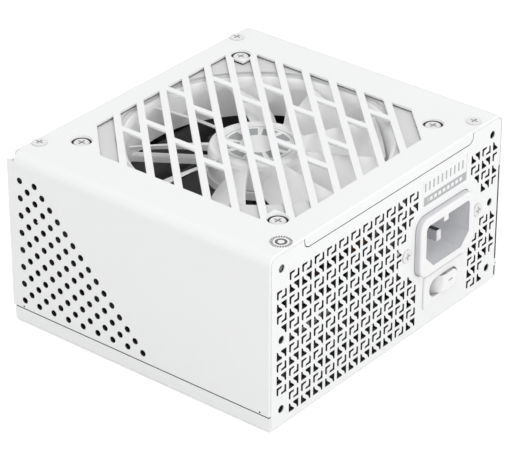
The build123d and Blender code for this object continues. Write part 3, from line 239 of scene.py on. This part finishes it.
# ------------------------------------------------------------------ finishes
def fixing_hole_lips(s, x, y, z):
    """1 on the paint-coloured lips of the six fixing holes of the rear panel, which the painted shade
    inside leaves out.
    """
    holes = mount("rear_corner_holes")
    half_x = holes["dims"]["spacing_x_mm"] * MM / 2
    half_z = holes["dims"]["spacing_y_mm"] * MM / 2
    reach = (holes["dims"]["hole_r_mm"] + 0.25) * MM
    off_x = s.math("SUBTRACT", s.math("ABSOLUTE", x), half_x)
    from_middle = s.math("ABSOLUTE", s.math("SUBTRACT", z, holes["pos_m"][2]))
    off_z = s.math("MINIMUM", from_middle, s.math("ABSOLUTE", s.math("SUBTRACT", from_middle, half_z)))
    return s.both(s.math("LESS_THAN", s.length(off_x, off_z), reach),
                  s.math("LESS_THAN", y, TRAY_LOW.y + LIP_SKIN))


def interior_shade(s):
    """Painted shade mask: 1 on faces that look into the case, on the side holes' walls and on the rear
    panel's cut edges, part strength in the side seam's gap, 0 on the powder coat and on the other sheet
    edges.
    """
    x, y, z = s.axes()
    away = s.math("ABSOLUTE", x)
    past_x = s.math("MAXIMUM", s.math("SUBTRACT", away, BEND_X), 0.0)
    past_z = s.math("MAXIMUM", s.math("SUBTRACT", z, BEND_Z), 0.0)
    hole_walls = s.math("MULTIPLY", s.band(z, SIDE_HOLES_LOW, SIDE_HOLES_HIGH), HOLE_WALL)
    shade_radius = s.math("ADD", hole_walls, BEND_RADIUS - SKIN)
    rear_edge = s.math("MULTIPLY", s.math("GREATER_THAN", x, VENT_LEFT), VENT_SKIN - SKIN)
    enclosed = s.both(
        s.math("LESS_THAN", s.length(past_x, past_z), shade_radius),
        s.math("GREATER_THAN", y, s.math("ADD", TRAY_LOW.y + SKIN, rear_edge)),
        s.math("LESS_THAN", y, TRAY_HIGH.y - SKIN),
        s.math("GREATER_THAN", z, SHADE_FLOOR),
    )
    notch_x, notch_y, notch_z = NOTCH
    corners = s.both(s.math("GREATER_THAN", away, notch_x), s.math("GREATER_THAN", y, notch_y),
                     s.math("GREATER_THAN", z, notch_z))
    painted = s.math("MAXIMUM", fixing_hole_lips(s, x, y, z), corners)
    inner_shade = s.both(enclosed, s.math("SUBTRACT", 1.0, painted))
    # painted shadow in the gap of the side seam
    seam = s.both(s.math("GREATER_THAN", away, SEAM_X), s.band(z, SEAM_LOW, SEAM_HIGH))
    return s.math("MAXIMUM", inner_shade, s.math("MULTIPLY", seam, SEAM_SHADE))


def white_paint():
    """Satin powder coat outside; near-black painted shade on the faces inside the case."""
    s = Shader("white_paint")
    orange_peel = s.noise(900.0, 2.0, 0.5)
    dust = s.noise(6000.0, 1.0, 0.5)
    broad = s.noise(28.0, 4.0, 0.6)
    interior_mottle = s.noise(220.0, 3.0, 0.7)
    height = s.math("ADD", orange_peel, s.math("MULTIPLY", dust, 0.35))
    paint = s.mix(broad, rgb(0.845, 0.85, 0.855), rgb(0.875, 0.878, 0.88))
    # painted shade: near-black colour for the inside of the case
    inner_shade = s.mix(interior_mottle, rgb(0.035, 0.035, 0.038), rgb(0.07, 0.07, 0.074))
    inner = interior_shade(s)
    s.set(color=s.mix(inner, paint, inner_shade),
          rough=s.remap(broad, 0.3, 0.7, 0.38, 0.46), specular=0.45)
    s.bump(height, 0.10, 0.00004, 0.00022)
    return s.mat


def inlet_plastic():
    """White moulding, with painted shade on its flanks and in its hollows, and painted light, a paler
    bluish white, deep in its recess.
    """
    s = Shader("white_plastic")
    grain = s.noise(1500.0, 2.0, 0.6)
    broad = s.noise(70.0, 4.0, 0.6)
    x, y, z = s.axes()
    center_x, front, center_z = mount("mains_inlet")["pos_m"]
    half_x, half_z = 12.4 * MM, 8.4 * MM
    # painted shade: faces turned sideways are greyed
    flank = s.remap(s.math("ABSOLUTE", s.normal()[1]), 0.3, 0.95, 0.75, 0.0)
    # painted light: colour graded with depth into the recess towards a paler bluish white
    depth = s.remap(y, front + 0.5 * MM, front + 13.3 * MM, 0.0, 1.0)
    within = s.both(s.band(x, center_x - half_x, center_x + half_x),
                    s.band(z, center_z - half_z, center_z + half_z))
    shade = s.math("MULTIPLY", within, s.math("POWER", depth, 0.45))
    white = s.mix(flank, rgb(0.86), rgb(0.62, 0.62, 0.65))
    recess = s.mix(broad, rgb(0.88, 0.885, 0.90), rgb(0.92, 0.925, 0.94))
    # painted shade in hollows, from ambient occlusion
    inlet_hollow_shade = s.remap(s.openness(0.006, 6), 0.1, 0.85, 0.20, 0.0)
    s.set(color=s.mix(inlet_hollow_shade, s.mix(shade, white, recess), rgb(0.36, 0.36, 0.39)),
          rough=s.remap(broad, 0.3, 0.7, 0.38, 0.48))
    s.bump(grain, 0.12, 0.00005, 0.0003)
    return s.mat


def rocker_plastic():
    """Glossy white cap, with painted shade on its pressed half where it sinks into the housing and
    near-black painted shade in tight gaps.
    """
    s = Shader("switch_plastic")
    grain = s.noise(900.0, 2.0, 0.5)
    broad = s.noise(60.0, 3.0, 0.6)
    x, y, z = s.axes()
    # painted shade on the pressed half, fading where it stands free of the housing
    lean = s.math("MULTIPLY", s.math("SUBTRACT", z, ROCKER.z), SHADE_EDGE_LEAN)
    crest = s.math("ADD", lean, ROCKER.x)
    pressed = s.remap(s.math("SUBTRACT", x, crest), -0.0013, -0.0003, 1.0, 0.0)
    free = s.openness(0.008, 8)
    sunk_shade = s.remap(free, 0.75, 0.97, 1.0, 0.0)
    # near-black painted shade in tight gaps
    edge = s.remap(free, 0.35, 0.75, 0.8, 0.0)
    white = s.mix(broad, rgb(0.86), rgb(0.89))
    shaded = s.mix(s.math("MULTIPLY", pressed, sunk_shade), white, rgb(0.50, 0.50, 0.51))
    s.set(color=s.mix(edge, shaded, rgb(0.16)), rough=s.remap(broad, 0.3, 0.7, 0.24, 0.32))
    s.bump(grain, 0.05, 0.00005, 0.0004)
    return s.mat


def blade_metal():
    """Nickel-plated contact: grey flanks, near-black painted shade on its upper face and a painted
    highlight on its tip.
    """
    s = Shader("contact_metal")
    brushed = s.noise(1600.0, 3.0, 0.6, s.stretch(1.0, 0.1, 1.0))
    upward = s.normal()[2]
    tip = s.math("LESS_THAN", s.axes()[1], BLADE_TIP)
    flank = s.mix(brushed, rgb(0.52, 0.52, 0.54), rgb(0.58, 0.58, 0.60))
    # near-black painted shade on faces turned upwards
    body = s.mix(s.remap(upward, 0.4, 0.8, 0.0, 1.0), flank, rgb(0.035))
    # painted highlight on the tip
    s.set(color=s.mix(tip, body, rgb(0.88)), rough=s.remap(brushed, 0.3, 0.7, 0.36, 0.46),
          metal=0.15)
    s.bump(brushed, 0.1, 0.00004, 0.0002)
    return s.mat


def fan_plastic():
    """Satin white moulding with a faint painted glow, and painted shade darkening its flat mounting
    faces.
    """
    s = Shader("fan_plastic")
    grain = s.noise(1800.0, 2.0, 0.6)
    broad = s.noise(80.0, 4.0, 0.6)
    # painted shade on the flat faces under the cover
    shaded_flats = s.math("GREATER_THAN", s.axes()[2], FAN_FLATS)
    white = s.mix(broad, rgb(0.90), rgb(0.94))
    flats_shade_color = s.mix(broad, rgb(0.66), rgb(0.70))
    s.set(color=s.mix(shaded_flats, white, flats_shade_color), rough=s.remap(broad, 0.3, 0.7, 0.32, 0.42),
          # painted light: a faint glow on all but the flat faces
          glow=s.remap(shaded_flats, 0.0, 1.0, 0.07, 0.0), glow_color=rgb(1.0))
    s.bump(grain, 0.10, 0.00005, 0.0002)
    return s.mat


def screw_paint():
    """Painted screw heads, with painted shade darkening their recesses."""
    s = surface("screw_paint", rgb(0.80), 0.33, tone=0.06, grain=1200.0, strength=0.2,
                bevel=0.0002, hollow_shade_amount=0.75)
    return s.mat


def polar(s, center_x, center_y):
    """Distance and turn fraction (0 to 1) about a vertical axis."""
    x, y, z = s.axes()
    dx = s.math("SUBTRACT", x, center_x)
    dy = s.math("SUBTRACT", y, center_y)
    turn = s.math("ADD", s.math("DIVIDE", s.math("ARCTAN2", dy, dx), math.tau), 1.0)
    return s.length(dx, dy), s.math("FRACT", turn)


def dashes(s, value, count, share, shift=0.0):
    """Repeating marks: count of them per unit of value, each covering a share of its pitch."""
    phase = s.math("FRACT", s.math("ADD", s.math("MULTIPLY", value, count), shift))
    return s.math("LESS_THAN", phase, share)


def printed(name, paper, ink, make_mark, rough):
    """Printed film: paper where the mark is 0, ink where it is 1, with slight mottle."""
    s = Shader(name)
    speckle = s.noise(2500.0, 2.0, 0.6)
    cover = s.math("MULTIPLY", make_mark(s), s.remap(speckle, 0.2, 0.8, 0.92, 1.0))
    s.set(color=s.mix(cover, paper, ink),
          rough=s.remap(speckle, 0.2, 0.8, rough - 0.05, rough + 0.05))
    s.bump(speckle, 0.08, 0.00003)
    return s.mat


def seal_marks(s):
    """Dashed ring around a plain ring."""
    center = middle_of("seal_disc")
    distance, turn = polar(s, center.x, center.y)
    ring = s.both(s.band(distance, 2.6 * MM, 3.6 * MM), dashes(s, turn, 24.0, 0.66))
    return s.math("MAXIMUM", ring, s.band(distance, 1.1 * MM, 2.0 * MM))


def sticker_marks(s):
    """Nine plain segments inside a thin rim."""
    distance, turn = polar(s, 0.0, 0.0)
    ring = s.both(s.band(distance, 6.2 * MM, 10.8 * MM), dashes(s, turn, 9.0, 0.74))
    return s.math("MAXIMUM", ring, s.band(distance, 11.95 * MM, 12.2 * MM))


def inlet_marks(s):
    """A row of bars above a strip with open blocks, and a stroke beside them."""
    x, y, z = s.axes()
    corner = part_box("inlet_label")[0]
    along = s.math("DIVIDE", s.math("SUBTRACT", x, corner.x), MM)
    up = s.math("DIVIDE", s.math("SUBTRACT", z, corner.z), MM)
    strip = s.both(s.band(up, 0.3, 3.6), s.band(along, 0.5, 24.3))
    blocks = s.both(s.band(up, 1.3, 2.6), s.band(along, 2.7, 21.9), dashes(s, along, 0.42, 0.62, 0.366))
    bars = s.both(s.band(up, 5.5, 8.7), s.band(along, 0.9, 23.9), dashes(s, along, 0.43, 0.36, 0.639))
    stroke = s.both(s.band(along, 24.35, 24.55), s.band(up, 0.3, 10.3))
    film = s.math("SUBTRACT", strip, blocks)
    return s.math("MAXIMUM", s.math("MAXIMUM", film, bars), stroke)


def rating_marks(s):
    """An empty table with a filled title row."""
    x, y, z = s.axes()
    half_y, half_z = 43.0 * MM, 18.0 * MM
    line = 0.4 * MM
    off_y = s.math("ABSOLUTE", y)
    off_z = s.math("ABSOLUTE", s.math("SUBTRACT", z, middle_of("rating_label").z))
    outer = s.both(s.math("LESS_THAN", off_y, half_y), s.math("LESS_THAN", off_z, half_z))
    core = s.both(s.math("LESS_THAN", off_y, half_y - line), s.math("LESS_THAN", off_z, half_z - line))
    border = s.math("SUBTRACT", outer, core)
    rows = s.both(dashes(s, z, 250.0, 0.07), core)
    columns = s.both(dashes(s, y, 88.0, 0.03, 0.35), core)
    title = s.both(s.band(z, 44.1 * MM, 47.9 * MM), s.math("LESS_THAN", off_y, half_y - line))
    lines = s.math("MAXIMUM", s.math("MAXIMUM", rows, columns), border)
    return s.math("MAXIMUM", lines, title)


materials = {
    "white_paint": white_paint(),
    "screw_paint": screw_paint(),
    "white_plastic": inlet_plastic(),
    "switch_plastic": rocker_plastic(),
    "fan_plastic": fan_plastic(),
    "seal_film": printed("seal_film", rgb(0.86), rgb(0.09), seal_marks, 0.5),
    "sticker_film": printed("sticker_film", rgb(0.97), rgb(0.36, 0.38, 0.39), sticker_marks, 0.35),
    "steel": surface("steel", rgb(0.55, 0.55, 0.56), 0.32, metal=1.0, stretch=(1, 1, 12)).mat,
    "bronze": surface("bronze", rgb(0.55, 0.38, 0.2), 0.45, metal=1.0, grain=5000.0).mat,
    "magnet": surface("magnet", rgb(0.05), 0.6, grain=4000.0, strength=0.4).mat,
    "lamination": surface("lamination", rgb(0.35), 0.4, metal=1.0, stretch=(1, 1, 30)).mat,
    "copper": surface("copper", rgb(0.52, 0.22, 0.09), 0.3, metal=0.85, stretch=(3, 3, 0.4),
                      grain=700.0, strength=0.7, depth=0.0004).mat,
    "board": surface("board", rgb(0.24, 0.24, 0.245), 0.4, tone=0.35, grain=900.0).mat,
    "black_plastic": surface("black_plastic", rgb(0.025), 0.45, bevel=0.0002).mat,
    "contact_metal": blade_metal(),
    "ferrite": surface("ferrite", rgb(0.10), 0.65, grain=5000.0, strength=0.35).mat,
    "cap_sleeve": surface("cap_sleeve", rgb(0.10, 0.10, 0.11), 0.28, grain=500.0).mat,
    "film_cap": surface("film_cap", rgb(0.20, 0.16, 0.07), 0.35, bevel=0.0003).mat,
    "disc_cap": surface("disc_cap", rgb(0.03, 0.05, 0.10), 0.3).mat,
    "aluminium": surface("aluminium", rgb(0.6, 0.61, 0.63), 0.4, metal=1.0,
                         stretch=(1, 1, 0.05)).mat,
    "epoxy": surface("epoxy", rgb(0.07), 0.55, grain=3500.0, strength=0.3).mat,
    "tape": surface("tape", rgb(0.26, 0.21, 0.08), 0.3, stretch=(1, 1, 6), strength=0.3).mat,
    "insulation": surface("insulation", rgb(0.7), 0.3).mat,
    "wire_jacket": surface("wire_jacket", rgb(0.03), 0.35).mat,
    "earth_jacket": surface("earth_jacket", rgb(0.04, 0.10, 0.03), 0.35).mat,
    "fuse_body": surface("fuse_body", rgb(0.7, 0.68, 0.6), 0.3).mat,
}

label_finishes = {
    "inlet_label": printed("inlet_label_film", rgb(0.86), rgb(0.42, 0.43, 0.44), inlet_marks, 0.4),
    "rating_label": printed("rating_label_film", rgb(0.84), rgb(0.3, 0.31, 0.32), rating_marks, 0.35),
}

for entry in frame["record"]["subparts"]:
    mesh = nodes[entry["node"]].data
    mesh.materials.clear()
    mesh.materials.append(label_finishes.get(entry["node"]) or materials[entry["material_slot"]])


# ------------------------------------------------------------------ wound wire
WIRE_SIDES = 8


def loop_around(half_width, half_height, corner, steps=4):
    """Rounded rectangle as (x, z, normal x, normal z), anticlockwise."""
    points = []
    for quarter in range(4):
        side_x = 1 if quarter in (0, 3) else -1
        side_z = 1 if quarter in (0, 1) else -1
        for step in range(steps + 1):
            turn = math.pi / 2 * (quarter + step / steps)
            nx, nz = math.cos(turn), math.sin(turn)
            x = side_x * (half_width - corner) + corner * nx
            z = side_z * (half_height - corner) + corner * nz
            points.append((x, z, nx, nz))
    return points


def turn_points(loop, wire, center, angle):
    """Points of one turn of wire that follows loop across a ring core, at angle around center."""
    cos_a, sin_a = math.cos(angle), math.sin(angle)
    center_x, center_y, center_z, middle = center
    points = []
    for x, z, nx, nz in loop:
        for side in range(WIRE_SIDES):
            around = math.tau * side / WIRE_SIDES
            out = wire / 2 * math.cos(around)
            along = wire / 2 * math.sin(around)
            reach = middle + x + nx * out
            points.append((
                center_x + reach * cos_a - along * sin_a,
                center_y + reach * sin_a + along * cos_a,
                center_z + z + nz * out,
            ))
    return points


def tube_faces(first, rings):
    """Faces of a closed tube of rings, whose points start at first."""
    faces = []
    for ring in range(rings):
        after = (ring + 1) % rings
        for side in range(WIRE_SIDES):
            beside = (side + 1) % WIRE_SIDES
            faces.append((first + ring * WIRE_SIDES + side, first + after * WIRE_SIDES + side,
                          first + after * WIRE_SIDES + beside, first + ring * WIRE_SIDES + beside))
    return faces


def wound_core(name, node, places, outer, inner, tall, lift, arcs, wire):
    """Turns of wire side by side around flat ring cores, in mm; stands for one CAD node."""
    verts = []
    faces = []
    loop = loop_around((outer - inner) / 2 + wire / 2, (tall + wire) / 2, wire * 0.6)
    middle = (outer + inner) / 2
    for place_x, place_y in places:
        center = (place_x, place_y, BOARD_TOP + lift + tall / 2, middle)
        for start, arc in arcs:
            turns = int(math.radians(arc) * (inner - wire / 2) / wire)
            for turn in range(turns):
                angle = math.radians(start + arc * (turn + 0.5) / turns)
                faces += tube_faces(len(verts), len(loop))
                verts += turn_points(loop, wire, center, angle)
    mesh = bpy.data.meshes.new(name)
    mesh.from_pydata([tuple(c * MM for c in v) for v in verts], [], faces)
    mesh.polygons.foreach_set("use_smooth", [True] * len(mesh.polygons))
    mesh.materials.append(materials["copper"])
    made = bpy.data.objects.new(name, mesh)
    bpy.context.scene.collection.objects.link(made)
    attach(made, "case")
    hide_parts(node)


wound_core("choke_turns", "choke_windings", places=[(46.0, -17.0), (25.0, -17.6)],
           outer=8.8, inner=5.0, tall=8.0, lift=1.4, arcs=[(20.0, 140.0), (200.0, 140.0)], wire=0.9)
wound_core("pfc_choke_turns", "pfc_choke_winding", places=[(-3.0, -10.0)],
           outer=13.2, inner=7.0, tall=11.0, lift=1.6, arcs=[(110.0, 320.0)], wire=1.1)
wound_core("output_choke_turns", "output_choke_winding", places=[(-47.0, -8.0)],
           outer=6.2, inner=3.4, tall=6.0, lift=1.3, arcs=[(60.0, 300.0)], wire=0.9)


# ------------------------------------------------------------------ studio
def area_light(name, place, aim, size, watts):
    """Rectangular soft light that faces its aim."""
    data = bpy.data.lights.new(name, "AREA")
    data.shape = "RECTANGLE"
    data.size, data.size_y = size
    data.energy = watts
    lamp = bpy.data.objects.new(name, data)
    bpy.context.scene.collection.objects.link(lamp)
    lamp.location = place
    lamp.rotation_euler = (Vector(aim) - Vector(place)).to_track_quat("-Z", "Y").to_euler()


def build_floor():
    """Pale sheet just under the object, which the camera sees a little brighter than it is lit."""
    half = 3.0
    mesh = bpy.data.meshes.new("studio_floor")
    mesh.from_pydata([(-half, -half, 0), (half, -half, 0), (half, half, 0), (-half, half, 0)],
                     [], [(0, 1, 2, 3)])
    floor = bpy.data.objects.new("studio_floor", mesh)
    bpy.context.scene.collection.objects.link(floor)
    floor.location.z = -0.0002
    s = surface("floor_paper", rgb(0.76), 0.9, tone=0.01, grain=300.0, specular=0.0)
    seen = s.node("ShaderNodeLightPath").outputs["Is Camera Ray"]
    s.set(glow=s.math("MULTIPLY", seen, 0.45), glow_color=rgb(1.0))
    mesh.materials.append(s.mat)


def build_world():
    """Even white surroundings."""
    world = bpy.data.worlds.new("studio_world")
    bpy.context.scene.world = world
    world.use_nodes = True
    background = world.node_tree.nodes["Background"]
    background.inputs[0].default_value = rgb(1.0)
    background.inputs[1].default_value = 0.87


def build_camera():
    """Long lens above the corner between the mains panel and the side holes."""
    data = bpy.data.cameras.new("view")
    data.sensor_width = 36.0
    data.lens = 191.7
    data.clip_start = 0.01
    camera = bpy.data.objects.new("view", data)
    bpy.context.scene.collection.objects.link(camera)
    place = Vector((-0.6194, -0.5013, 0.4827))
    aim = Vector((-0.0017, -0.0004, 0.0288))
    camera.location = place
    camera.rotation_euler = (aim - place).to_track_quat("-Z", "Y").to_euler()
    bpy.context.scene.camera = camera


build_floor()
build_world()
build_camera()
area_light("top_panel", place=(0.0, -0.2, 1.2), aim=(0, 0, 0), size=(1.2, 1.2), watts=2.2)
area_light("rear_panel", place=(0.15, -1.2, 0.30), aim=(0, 0, 0.03), size=(1.0, 0.6), watts=3.9)
area_light("side_panel", place=(-1.2, 0.15, 0.30), aim=(0, 0, 0.03), size=(1.0, 0.6), watts=1.7)

view_settings = bpy.context.scene.view_settings
view_settings.view_transform = "Standard"
view_settings.look = "None"
view_settings.exposure = 0.0
view_settings.gamma = 1.0
